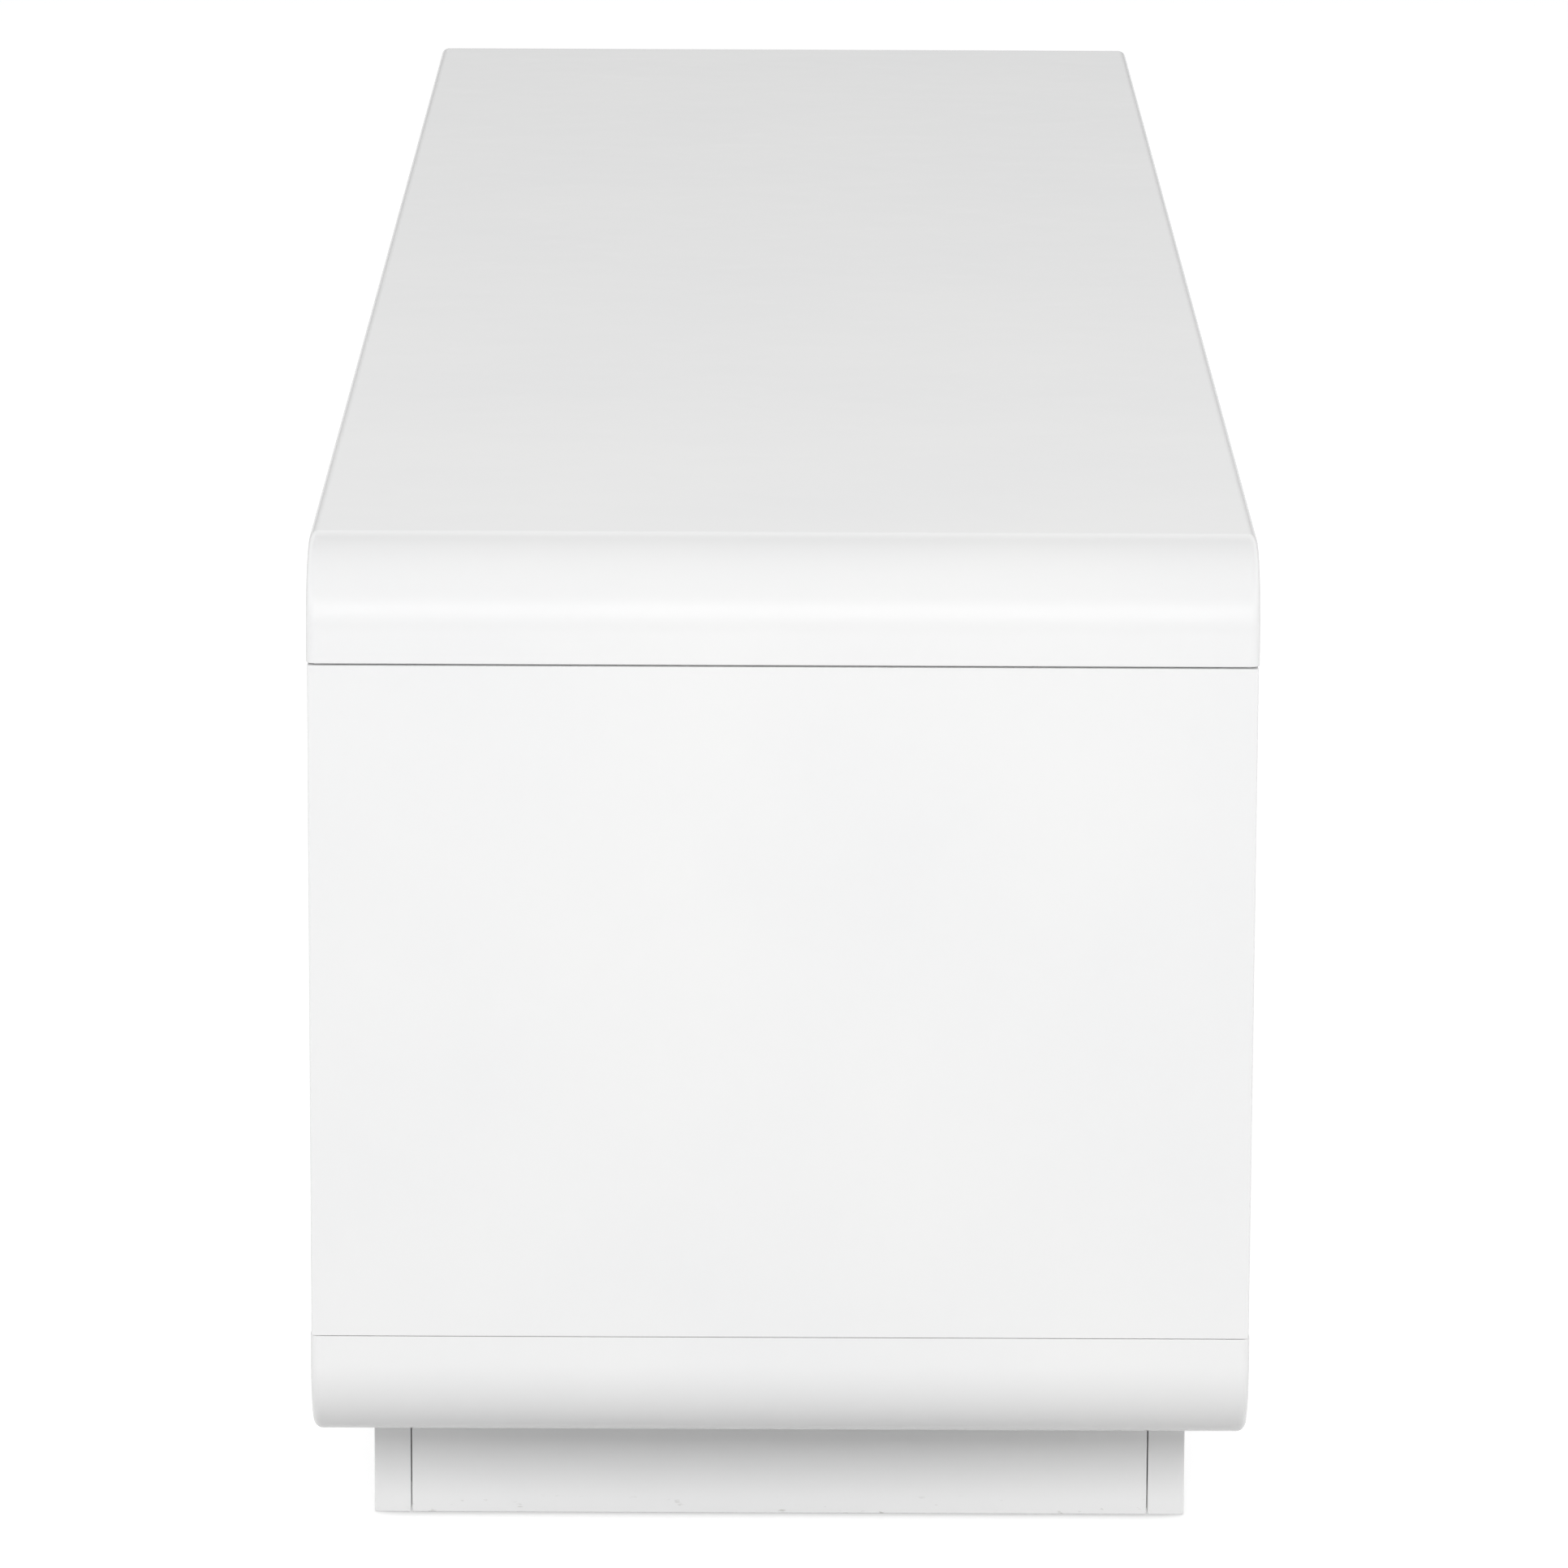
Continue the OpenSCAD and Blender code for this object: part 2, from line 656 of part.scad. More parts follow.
plinth_long_board(-1);  // plinth_front_board
plinth_long_board(1);  // plinth_back_board
plinth_short_board(-plinth_half_l);  // plinth_left_board
plinth_short_board(plinth_half_l - plinth_t);  // plinth_right_board
plinth_short_board(-cross_x - plinth_t / 2);  // plinth_left_cross_board
plinth_short_board(cross_x - plinth_t / 2);  // plinth_right_cross_board
plinth_corner_blocks();
plinth_screws();
plinth_glides();
door(-1);  // left_door
hinge_cups(-1);  // left_hinge_cups
hinge_pins(-1);  // left_hinge_pins
cup_screws(-1);  // left_cup_screws
hinge_arms(-1);  // left_hinge_arms
hinge_plates(-1);  // left_hinge_plates
plate_screws(-1);  // left_plate_screws
adjuster_screws(-1);  // left_adjuster_screws
latch_body(-1);  // left_latch_body
latch_plunger(-1);  // left_latch_plunger
latch_magnet(-1);  // left_latch_magnet
latch_spring(-1);  // left_latch_spring
strike_plate(-1);  // left_strike_plate
latch_screws(-1);  // left_latch_screws
door(1);  // right_door
hinge_cups(1);  // right_hinge_cups
hinge_pins(1);  // right_hinge_pins
cup_screws(1);  // right_cup_screws
hinge_arms(1);  // right_hinge_arms
hinge_plates(1);  // right_hinge_plates
plate_screws(1);  // right_plate_screws
adjuster_screws(1);  // right_adjuster_screws
latch_body(1);  // right_latch_body
latch_plunger(1);  // right_latch_plunger
latch_magnet(1);  // right_latch_magnet
latch_spring(1);  // right_latch_spring
strike_plate(1);  // right_strike_plate
latch_screws(1);  // right_latch_screws
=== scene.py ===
"""Looks for a low gloss-white television stand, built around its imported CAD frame.

Metres throughout, in the frame's own axes: X along the length, the doors face -Y, Z is up.
"""

import math

import bmesh
import bpy
from mathutils import Matrix, Vector


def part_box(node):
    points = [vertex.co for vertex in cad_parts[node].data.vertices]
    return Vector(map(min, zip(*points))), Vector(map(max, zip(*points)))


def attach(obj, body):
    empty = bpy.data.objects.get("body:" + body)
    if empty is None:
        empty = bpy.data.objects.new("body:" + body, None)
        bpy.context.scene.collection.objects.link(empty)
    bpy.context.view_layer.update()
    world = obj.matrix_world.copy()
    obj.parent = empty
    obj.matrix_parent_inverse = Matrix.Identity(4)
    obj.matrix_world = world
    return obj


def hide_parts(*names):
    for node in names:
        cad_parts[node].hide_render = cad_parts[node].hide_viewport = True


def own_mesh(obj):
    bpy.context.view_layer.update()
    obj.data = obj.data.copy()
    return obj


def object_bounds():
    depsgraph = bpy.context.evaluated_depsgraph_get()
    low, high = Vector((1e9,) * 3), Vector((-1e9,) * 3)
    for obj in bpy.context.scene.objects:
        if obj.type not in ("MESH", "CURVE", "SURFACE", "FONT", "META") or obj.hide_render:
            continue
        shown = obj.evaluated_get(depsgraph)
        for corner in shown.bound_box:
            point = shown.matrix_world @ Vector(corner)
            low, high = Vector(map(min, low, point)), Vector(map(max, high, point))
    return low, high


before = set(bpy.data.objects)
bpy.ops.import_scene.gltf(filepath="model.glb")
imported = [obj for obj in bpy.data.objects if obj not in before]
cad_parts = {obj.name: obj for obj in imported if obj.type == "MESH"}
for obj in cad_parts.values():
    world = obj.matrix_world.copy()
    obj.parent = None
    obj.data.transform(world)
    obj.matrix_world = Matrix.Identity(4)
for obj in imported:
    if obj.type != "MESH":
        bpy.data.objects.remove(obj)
cad_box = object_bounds()

MM = 0.001
SIDES = {"left": -1, "right": 1}

# Shapes that the frame's boxes don't give
END_RADIUS = 38 * MM        # rounded slab ends
RIM_EASE = 4 * MM           # slabs' outer long edges
TOP_SEAM_EASE = 0.5 * MM    # edges that meet at a seam
BOTTOM_SEAM_EASE = 0.25 * MM
PANEL_EASE = 1.0 * MM       # the end panels' upright edges
TOP_SEAM = 0.7 * MM         # open line between end panel and top slab
BOTTOM_SEAM = 0.22 * MM
SEAM_DEPTH = 3 * MM
DOOR_EASE = 2 * MM
TAPE = 0.8 * MM             # edge tape on the inner boards
PIN_HOLE_R = 2.6 * MM
PIN_HOLE_DEPTH = 8 * MM
PIN_PITCH = 32 * MM
CAM_HOLE_R = 7.6 * MM
CAM_HOLE_DEPTH = 12.5 * MM
CAM_BELOW = 0.3 * MM        # how far a cam lies below the panel's face
CUP_HOLE_R = 17.6 * MM
CUP_HOLE_DEPTH = 12.5 * MM
CUP_FROM_EDGE = 22.5 * MM   # cup centre from the door's hinge edge
PLUNGER_HOLE_R = 3.55 * MM
PLUNGER_HOLE_DEPTH = 40 * MM
SPRING_WIRE = 0.4 * MM      # its radius
SPRING_TURNS = 8


# ---------------------------------------------------------------- materials

def new_material(name, base, roughness, metallic=0.0, ior=1.5):
    """A Principled material. Its colour, roughness and bump are given by the functions below."""
    m = bpy.data.materials.new(name)
    m.use_nodes = True
    shader = m.node_tree.nodes["Principled BSDF"]
    shader.inputs["Base Color"].default_value = (*base, 1)
    shader.inputs["Roughness"].default_value = roughness
    shader.inputs["Metallic"].default_value = metallic
    shader.inputs["IOR"].default_value = ior
    return m, m.node_tree, shader


def place(nodes, stretch=(1, 1, 1)):
    """Object coordinates in metres, stretched."""
    where = nodes.nodes.new("ShaderNodeTexCoord")
    mapping = nodes.nodes.new("ShaderNodeMapping")
    mapping.inputs["Scale"].default_value = stretch
    nodes.links.new(where.outputs["Object"], mapping.inputs["Vector"])
    return mapping.outputs["Vector"]


def noise(nodes, vector, size, detail=3.0, rough=0.5, distortion=0.0):
    """Noise whose features are about size metres across."""
    n = nodes.nodes.new("ShaderNodeTexNoise")
    n.inputs["Scale"].default_value = 1 / size
    n.inputs["Detail"].default_value = detail
    n.inputs["Roughness"].default_value = rough
    n.inputs["Distortion"].default_value = distortion
    nodes.links.new(vector, n.inputs["Vector"])
    return n.outputs["Fac"]


def remap(nodes, value, low, high, start=0.3, end=0.7):
    """Maps start..end of a value to low..high, and clamps it."""
    r = nodes.nodes.new("ShaderNodeMapRange")
    for name, number in (("From Min", start), ("From Max", end), ("To Min", low), ("To Max", high)):
        r.inputs[name].default_value = number
    nodes.links.new(value, r.inputs["Value"])
    return r.outputs["Result"]


def mixed_colour(nodes, value, dark, light):
    """A colour between dark and light by a value from 0 to 1."""
    ramp = nodes.nodes.new("ShaderNodeValToRGB")
    ramp.color_ramp.elements[0].color = (*dark, 1)
    ramp.color_ramp.elements[1].color = (*light, 1)
    nodes.links.new(value, ramp.inputs["Fac"])
    return ramp.outputs["Color"]


def combine(nodes, operation, a, b):
    """One Math node on two values, each a socket or a number."""
    m = nodes.nodes.new("ShaderNodeMath")
    m.operation = operation
    for socket, value in zip(m.inputs, (a, b)):
        if isinstance(value, (int, float)):
            socket.default_value = value
        else:
            nodes.links.new(value, socket)
    return m.outputs["Value"]


def bump(nodes, shader, layers):
    """Chains bumps of (height socket, depth in metres) into the shader's normal."""
    normal = None
    for height, depth in layers:
        b = nodes.nodes.new("ShaderNodeBump")
        b.inputs["Strength"].default_value = 1.0
        b.inputs["Distance"].default_value = depth
        nodes.links.new(height, b.inputs["Height"])
        if normal is not None:
            nodes.links.new(normal, b.inputs["Normal"])
        normal = b.outputs["Normal"]
    nodes.links.new(normal, shader.inputs["Normal"])


def gloss_lacquer(name, scuffed=False):
    """Sprayed and polished white lacquer: slight orange peel, haze and, on a plinth, floor scuffs."""
    m, nodes, shader = new_material(name, (0.8, 0.8, 0.8), 0.08, ior=1.52)
    vector = place(nodes)
    mottle = noise(nodes, vector, 0.16, detail=4)
    haze = noise(nodes, vector, 0.035, detail=5, rough=0.6)
    peel = noise(nodes, vector, 0.0045, detail=1)
    ripple = noise(nodes, vector, 0.03, detail=0)
    colour = mixed_colour(nodes, remap(nodes, mottle, 0, 1), (0.775, 0.777, 0.78), (0.80, 0.80, 0.797))
    rough = remap(nodes, haze, 0.09, 0.15)
    if scuffed:
        height = nodes.nodes.new("ShaderNodeSeparateXYZ")
        nodes.links.new(vector, height.inputs["Vector"])
        low_down = remap(nodes, height.outputs["Z"], 1, 0, start=0.003, end=0.011)
        marks = remap(nodes, noise(nodes, place(nodes, (1, 1, 2.5)), 0.006, detail=4), 0, 0.8, 0.66, 0.74)
        scuff = combine(nodes, "MULTIPLY", low_down, marks)
        tint = nodes.nodes.new("ShaderNodeMix")
        tint.data_type = "RGBA"
        nodes.links.new(scuff, tint.inputs["Factor"])
        nodes.links.new(colour, tint.inputs["A"])
        tint.inputs["B"].default_value = (0.42, 0.41, 0.39, 1)
        colour = tint.outputs["Result"]
        rough = combine(nodes, "ADD", rough, combine(nodes, "MULTIPLY", scuff, 0.4))
    nodes.links.new(colour, shader.inputs["Base Color"])
    nodes.links.new(rough, shader.inputs["Roughness"])
    bump(nodes, shader, [(ripple, 0.00004), (peel, 0.0000025)])
    return m


def matt_melamine():
    """Satin melamine with a fine pearl emboss."""
    m, nodes, shader = new_material("matt_melamine", (0.78, 0.78, 0.77), 0.5)
    vector = place(nodes)
    pearl = noise(nodes, vector, 0.0011, detail=2)
    smear = noise(nodes, vector, 0.07, detail=5)
    white = mixed_colour(nodes, remap(nodes, smear, 0, 1), (0.745, 0.745, 0.74), (0.785, 0.783, 0.775))
    nodes.links.new(white, shader.inputs["Base Color"])
    nodes.links.new(remap(nodes, smear, 0.40, 0.52), shader.inputs["Roughness"])
    bump(nodes, shader, [(pearl, 0.000035)])
    return m


def back_board():
    """Painted hardboard: smooth face with a faint felted grain."""
    m, nodes, shader = new_material("back_board", (0.76, 0.76, 0.75), 0.55)
    felt = noise(nodes, place(nodes), 0.0022, detail=6, rough=0.7)
    cloud = noise(nodes, place(nodes), 0.12, detail=4)
    nodes.links.new(mixed_colour(nodes, remap(nodes, cloud, 0, 1), (0.70, 0.70, 0.69), (0.755, 0.752, 0.74)),
                    shader.inputs["Base Color"])
    nodes.links.new(remap(nodes, felt, 0.48, 0.62), shader.inputs["Roughness"])
    bump(nodes, shader, [(felt, 0.00003)])
    return m


def beech():
    """Planed beech: long pores, broad growth bands and short dark flecks."""
    m, nodes, shader = new_material("beech", (0.6, 0.43, 0.27), 0.6)
    bands = noise(nodes, place(nodes, (1, 1, 0.10)), 0.006, detail=4, distortion=0.4)
    pores = noise(nodes, place(nodes, (1, 1, 0.05)), 0.0007, detail=2)
    flecks = remap(nodes, noise(nodes, place(nodes, (1, 1, 0.3)), 0.0016, detail=1), 0, 1, 0.66, 0.72)
    tone = combine(nodes, "SUBTRACT", remap(nodes, bands, 0.15, 1), combine(nodes, "MULTIPLY", flecks, 0.35))
    wood = mixed_colour(nodes, tone, (0.38, 0.23, 0.125), (0.66, 0.47, 0.30))
    nodes.links.new(wood, shader.inputs["Base Color"])
    nodes.links.new(remap(nodes, pores, 0.5, 0.7), shader.inputs["Roughness"])
    bump(nodes, shader, [(pores, 0.00006)])
    return m


def metal(name, dark, light, low, high, grain, depth, stretch=(1, 1, 1)):
    """Plated metal: mottled plating and a fine grain that may run one way."""
    m, nodes, shader = new_material(name, light, (low + high) / 2, metallic=1.0)
    mottle = noise(nodes, place(nodes), 0.006, detail=5, rough=0.65)
    fine = noise(nodes, place(nodes, stretch), grain, detail=3)
    nodes.links.new(mixed_colour(nodes, remap(nodes, mottle, 0, 1), dark, light), shader.inputs["Base Color"])
    nodes.links.new(remap(nodes, fine, low, high), shader.inputs["Roughness"])
    bump(nodes, shader, [(fine, depth)])
    return m


def moulded_plastic():
    """White ABS with the fine spark texture of its mould."""
    m, nodes, shader = new_material("white_plastic", (0.78, 0.78, 0.77), 0.38)
    spark = noise(nodes, place(nodes), 0.0005, detail=2)
    flow = noise(nodes, place(nodes), 0.02, detail=3)
    nodes.links.new(mixed_colour(nodes, remap(nodes, flow, 0, 1), (0.735, 0.735, 0.73), (0.78, 0.778, 0.77)),
                    shader.inputs["Base Color"])
    nodes.links.new(remap(nodes, spark, 0.32, 0.46), shader.inputs["Roughness"])
    bump(nodes, shader, [(spark, 0.00003)])
    return m


MATERIALS = {
    "gloss_lacquer": gloss_lacquer("gloss_lacquer"),
    "plinth_lacquer": gloss_lacquer("plinth_lacquer", scuffed=True),
    "matt_melamine": matt_melamine(),
    "back_board": back_board(),
    "beech": beech(),
    "bright_steel": metal("bright_steel", (0.62, 0.61, 0.59), (0.73, 0.715, 0.69), 0.17, 0.27, 0.0009,
                          0.000006, (1, 1, 0.5)),
    "zinc": metal("zinc", (0.50, 0.52, 0.56), (0.66, 0.66, 0.65), 0.28, 0.46, 0.0004, 0.00002),
    "magnet_nickel": metal("magnet_nickel", (0.56, 0.55, 0.53), (0.66, 0.64, 0.61), 0.14, 0.24, 0.0008,
                           0.000008),
    "white_plastic": moulded_plastic(),
}


# ---------------------------------------------------------------- building pieces

def plain_box(bm, low, high):
    """Adds a sharp box and returns its edges."""
    made = bmesh.ops.create_cube(bm, size=1.0)
    low, high = Vector(low), Vector(high)
    for v in made["verts"]:
        v.co = Vector(low[i] + (v.co[i] + 0.5) * (high[i] - low[i]) for i in range(3))
    return list({e for v in made["verts"] for e in v.link_edges})


def round_edges(bm, edges, ease, segments):
    bmesh.ops.bevel(bm, geom=edges, offset=ease, segments=segments, profile=0.5, affect="EDGES",
                    clamp_overlap=False)


def board_box(bm, low, high, ease, segments=3):
    """Adds a box with rounded edges."""
    round_edges(bm, plain_box(bm, low, high), ease, segments)


def face_edges(bm, axis, level):
    """The edges that lie in one plane across an axis."""
    return [e for e in bm.edges if all(abs(v.co[axis] - level) < 1e-7 for v in e.verts)]


def lathe(bm, outline, at, axis, segments=64):
    """Turns an outline of (radius, distance) points about an axis from a point."""
    turn = Vector((0, 0, 1)).rotation_difference(Vector(axis)).to_matrix()
    rings = []
    for radius, distance in outline:
        if radius < 1e-7:
            rings.append([bm.verts.new(Vector(at) + turn @ Vector((0, 0, distance)))])
            continue
        ring = []
        for i in range(segments):
            a = 2 * math.pi * i / segments
            point = Vector((radius * math.cos(a), radius * math.sin(a), distance))
            ring.append(bm.verts.new(Vector(at) + turn @ point))
        rings.append(ring)
    for low, high in zip(rings, rings[1:]):
        for i in range(segments):
            j = (i + 1) % segments
            corners = [low[i % len(low)], low[j % len(low)], high[j % len(high)], high[i % len(high)]]
            bm.faces.new(list(dict.fromkeys(corners)))
    return rings


def drill(bm, radius, depth, overrun, at, axis, segments):
    """Adds a cutter for a round hole that goes depth deep along axis from a point on a face."""
    lathe(bm, [(0, -overrun), (radius, -overrun), (radius, depth), (0, depth)], at, axis, segments)


def arc(centre, radius, start, end, steps):
    """Points of an arc in degrees, as (across, along) pairs."""
    found = []
    for i in range(steps + 1):
        a = math.radians(start + (end - start) * i / steps)
        found.append((centre[0] + radius * math.cos(a), centre[1] + radius * math.sin(a)))
    return found


def disc_outline(radius, thickness, ease):
    """Outline of a solid disc, with its edge rounded at the far side."""
    return [(0, 0), (radius, 0)] + arc((radius - ease, thickness - ease), ease, 0, 90, 4) + [(0, thickness)]


def to_object(name, bm):
    """A Blender object from a bmesh, with outward faces."""
    bmesh.ops.recalc_face_normals(bm, faces=bm.faces)
    mesh = bpy.data.meshes.new(name)
    bm.to_mesh(mesh)
    bm.free()
    obj = bpy.data.objects.new(name, mesh)
    bpy.context.scene.collection.objects.link(obj)
    return obj


def combine_meshes(obj, bm, operation):
    """Cuts the bmesh's solids from the object, or joins them to it."""
    other = to_object(obj.name + "_tool", bm)
    modifier = obj.modifiers.new("tool", "BOOLEAN")
    modifier.operation = operation
    modifier.solver = "EXACT"
    modifier.use_self = True
    modifier.object = other
    bpy.context.view_layer.update()
    result = bpy.data.meshes.new_from_object(obj.evaluated_get(bpy.context.evaluated_depsgraph_get()))
    obj.modifiers.clear()
    obj.data = result
    bpy.data.objects.remove(other)


def finish_piece(obj, body, slot, material=None, stands_for=()):
    """Shades a piece, gives it its material and fixes it to its body."""
    mesh = obj.data
    mesh.materials.clear()
    mesh.materials.append(MATERIALS[material or slot])
    mesh.polygons.foreach_set("material_index", [0] * len(mesh.polygons))
    mesh.polygons.foreach_set("use_smooth", [True] * len(mesh.polygons))
    mesh.set_sharp_from_angle(angle=math.radians(38))
    modifier = obj.modifiers.new("face_weighted_normals", "WEIGHTED_NORMAL")
    modifier.keep_sharp = True
    modifier.weight = 100
    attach(obj, body)
    if stands_for:
        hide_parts(*stands_for)
    return obj


def solids_of(node):
    """The (low, high) boxes of a CAD node's separate solids."""
    bm = bmesh.new()
    bm.from_mesh(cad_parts[node].data)
    bmesh.ops.remove_doubles(bm, verts=bm.verts, dist=1e-6)
    found, seen = [], set()
    for start in bm.verts:
        if start in seen:
            continue
        island, queue = [], [start]
        seen.add(start)
        while queue:
            v = queue.pop()
            island.append(v.co.copy())
            for e in v.link_edges:
                other = e.other_vert(v)
                if other not in seen:
                    seen.add(other)
                    queue.append(other)
        found.append((Vector(map(min, *island)), Vector(map(max, *island))))
    bm.free()
    return sorted(found, key=lambda box: tuple(round(c, 5) for c in box[0]))


def middle(low, high):
    return (low + high) / 2


# ---------------------------------------------------------------- carcass

def slab(name, up):
    """A thick board with rounded ends. up is 1 if the round edges are its upper ones, or -1."""
    low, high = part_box(name)
    thick, inner_z = high.z - low.z, low.z if up > 0 else high.z
    outline = [(low.x, 0)]
    outline += arc((low.x + END_RADIUS, thick - END_RADIUS), END_RADIUS, 180, 90, 24)
    outline += arc((high.x - END_RADIUS, thick - END_RADIUS), END_RADIUS, 90, 0, 24)
    outline += [(high.x, 0)]
    bm = bmesh.new()
    caps = [[bm.verts.new((x, y, inner_z + up * z)) for x, z in outline] for y in (low.y, high.y)]
    for cap in caps:
        bm.faces.new(cap)
    for i in range(len(outline)):
        j = (i + 1) % len(outline)
        bm.faces.new((caps[0][i], caps[0][j], caps[1][j], caps[1][i]))
    bmesh.ops.recalc_face_normals(bm, faces=bm.faces)

    def flat(edge):
        return all(abs(v.co.z - inner_z) < 1e-7 for v in edge.verts)

    rim = [e for e in bm.edges if abs(e.verts[0].co.y - e.verts[1].co.y) < 1e-7 and not flat(e)]
    round_edges(bm, rim, RIM_EASE, 6)
    inner_face = max((f for f in bm.faces if all(abs(v.co.z - inner_z) < 1e-7 for v in f.verts)),
                     key=lambda f: f.calc_area())
    seam_ease = TOP_SEAM_EASE if up > 0 else BOTTOM_SEAM_EASE
    round_edges(bm, list(inner_face.edges), seam_ease, 3)
    return finish_piece(to_object(name + "_lacquered", bm), "cabinet", "gloss_lacquer", stands_for=[name])


def shelf_pin_holes(bm, low, high, pins, facing):
    """Cutters for the rows of pin holes in one face. facing is the face's outward X direction."""
    face_x = high.x if facing > 0 else low.x
    for pin_low, pin_high in pins:
        at = middle(pin_low, pin_high)
        for step in (-1, 0, 1):
            drill(bm, PIN_HOLE_R, PIN_HOLE_DEPTH, 1 * MM,
                  (face_x, at.y, at.z + step * PIN_PITCH), (-facing, 0, 0), 32)


def end_panel(side):
    """A thick end panel with open lines where it meets the slabs, bored for pins and cams."""
    name = side + "_end_panel"
    sign = SIDES[side]
    low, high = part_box(name)
    bm = bmesh.new()
    bottom, top = low.z + BOTTOM_SEAM, high.z - TOP_SEAM
    edges = plain_box(bm, (low.x, low.y, bottom), (high.x, high.y, top))
    round_edges(bm, [e for e in edges if abs(e.verts[0].co.z - e.verts[1].co.z) > MM], PANEL_EASE, 4)
    round_edges(bm, face_edges(bm, 2, bottom), BOTTOM_SEAM_EASE, 3)
    round_edges(bm, face_edges(bm, 2, top), TOP_SEAM_EASE, 3)
    obj = to_object(name + "_lacquered", bm)
    core = bmesh.new()
    core_low, core_high = low.copy(), high.copy()
    core_low.y += SEAM_DEPTH
    core_high.y -= SEAM_DEPTH
    core_low.x += SEAM_DEPTH if sign < 0 else 0.1 * MM
    core_high.x -= SEAM_DEPTH if sign > 0 else 0.1 * MM
    board_box(core, core_low, core_high, 0.05 * MM, segments=1)
    combine_meshes(obj, core, "UNION")
    holes = bmesh.new()
    shelf_pin_holes(holes, low, high, outer_pins(side), -sign)
    cam_holes(holes, "end", side)
    combine_meshes(obj, holes, "DIFFERENCE")
    return finish_piece(obj, "cabinet", "gloss_lacquer", stands_for=[name])


def outer_pins(side):
    """The pins of a door bay's shelf that stand in the end panel."""
    pins = solids_of(side + "_shelf_pins")
    return sorted(pins, key=lambda box: -abs(middle(*box).x))[:2]


def inner_pins(node, side):
    """The pins of a shelf that stand in this side's divider."""
    divider = middle(*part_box(side + "_divider")).x
    return sorted(solids_of(node), key=lambda box: abs(middle(*box).x - divider))[:2]


def cam_places(where, side):
    """(middle, outward X direction, X of the cam's face) of the cams in an end panel or a divider."""
    sign = SIDES[side]
    split = middle(*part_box(side + "_door")).x
    found = []
    for low, high in solids_of("cam_locks"):
        at = middle(low, high)
        if at.x * sign < 0:
            continue
        in_end = abs(at.x) > abs(split)
        if in_end == (where == "end"):
            out = -sign if in_end else sign
            found.append((at, out, high.x if out > 0 else low.x))
    return found


def cam_holes(bm, where, side):
    for at, out, face_x in cam_places(where, side):
        drill(bm, CAM_HOLE_R, CAM_HOLE_DEPTH, 2 * MM,
              (face_x + out * CAM_BELOW, at.y, at.z), (-out, 0, 0), 48)


def divider(side):
    """A divider with a taped front edge, bored for pins on both faces and for cams on one."""
    name = side + "_divider"
    sign = SIDES[side]
    low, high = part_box(name)
    bm = bmesh.new()
    board_box(bm, (low.x, low.y + TAPE, low.z), high, 0.25 * MM, segments=2)
    obj = to_object(name + "_board", bm)
    holes = bmesh.new()
    shelf_pin_holes(holes, low, high, inner_pins(side + "_shelf_pins", side), sign)
    shelf_pin_holes(holes, low, high, inner_pins("middle_shelf_pins", side), -sign)
    cam_holes(holes, "divider", side)
    combine_meshes(obj, holes, "DIFFERENCE")
    finish_piece(obj, "cabinet", "matt_melamine", stands_for=[name])
    edge_tape(name, low, high, "gloss_lacquer")


def edge_tape(name, low, high, slot):
    """The strip glued to a board's front edge."""
    bm = bmesh.new()
    board_box(bm, low, (high.x, low.y + TAPE, high.z), 0.35 * MM, segments=3)
    finish_piece(to_object(name + "_edge_tape", bm), "cabinet", slot)


def shelf(name):
    low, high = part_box(name)
    bm = bmesh.new()
    board_box(bm, (low.x, low.y + TAPE, low.z), high, 0.3 * MM, segments=2)
    finish_piece(to_object(name + "_board", bm), "cabinet", "matt_melamine", stands_for=[name])
    edge_tape(name, low, high, "matt_melamine")


def shelf_pins(name):
    """Turned pins with rounded noses."""
    bm = bmesh.new()
    for low, high in solids_of(name):
        radius, long = (high.y - low.y) / 2, high.x - low.x
        outline = [(0, 0), (radius - 0.5 * MM, 0)] + arc((radius - 0.5 * MM, 0.5 * MM), 0.5 * MM, -90, 0, 3)
        outline += arc((radius - 0.8 * MM, long - 0.8 * MM), 0.8 * MM, 0, 90, 4) + [(0, long)]
        at = middle(low, high)
        lathe(bm, outline, (low.x, at.y, at.z), (1, 0, 0), 32)
    finish_piece(to_object(name + "_turned", bm), "cabinet", "zinc", stands_for=[name])


def cross_cutter(bm, at, axis, across, width, depth):
    """A four-armed driver recess that goes depth deep along axis from a point on a head."""
    turn = Vector((0, 0, 1)).rotation_difference(Vector(axis)).to_matrix()
    for along in (0, 1):
        made = bmesh.ops.create_cube(bm, size=1.0)
        for v in made["verts"]:
            deep = v.co.z > 0
            reach = across * (0.45 if deep else 1.0)
            narrow = width * (0.7 if deep else 1.0)
            size = (reach, narrow) if along == 0 else (narrow, reach)
            v.co = Vector(at) + turn @ Vector((v.co.x * size[0], v.co.y * size[1], depth if deep else -depth))


def cams():
    """Cam locks: a chamfered disc with a cross recess."""
    bm, cuts = bmesh.new(), bmesh.new()
    for where in ("end", "divider"):
        for side in SIDES:
            for at, out, face_x in cam_places(where, side):
                outline = [(0, 0), (6.6 * MM, 0), (7.4 * MM, 0.7 * MM), (7.4 * MM, 12 * MM), (0, 12 * MM)]
                lathe(bm, outline, (face_x, at.y, at.z), (-out, 0, 0), 48)
                cross_cutter(cuts, (face_x, at.y, at.z), (-out, 0, 0), 7.5 * MM, 1.6 * MM, 2.2 * MM)
    obj = to_object("cam_locks_cast", bm)
    combine_meshes(obj, cuts, "DIFFERENCE")
    finish_piece(obj, "cabinet", "zinc", stands_for=["cam_locks"])


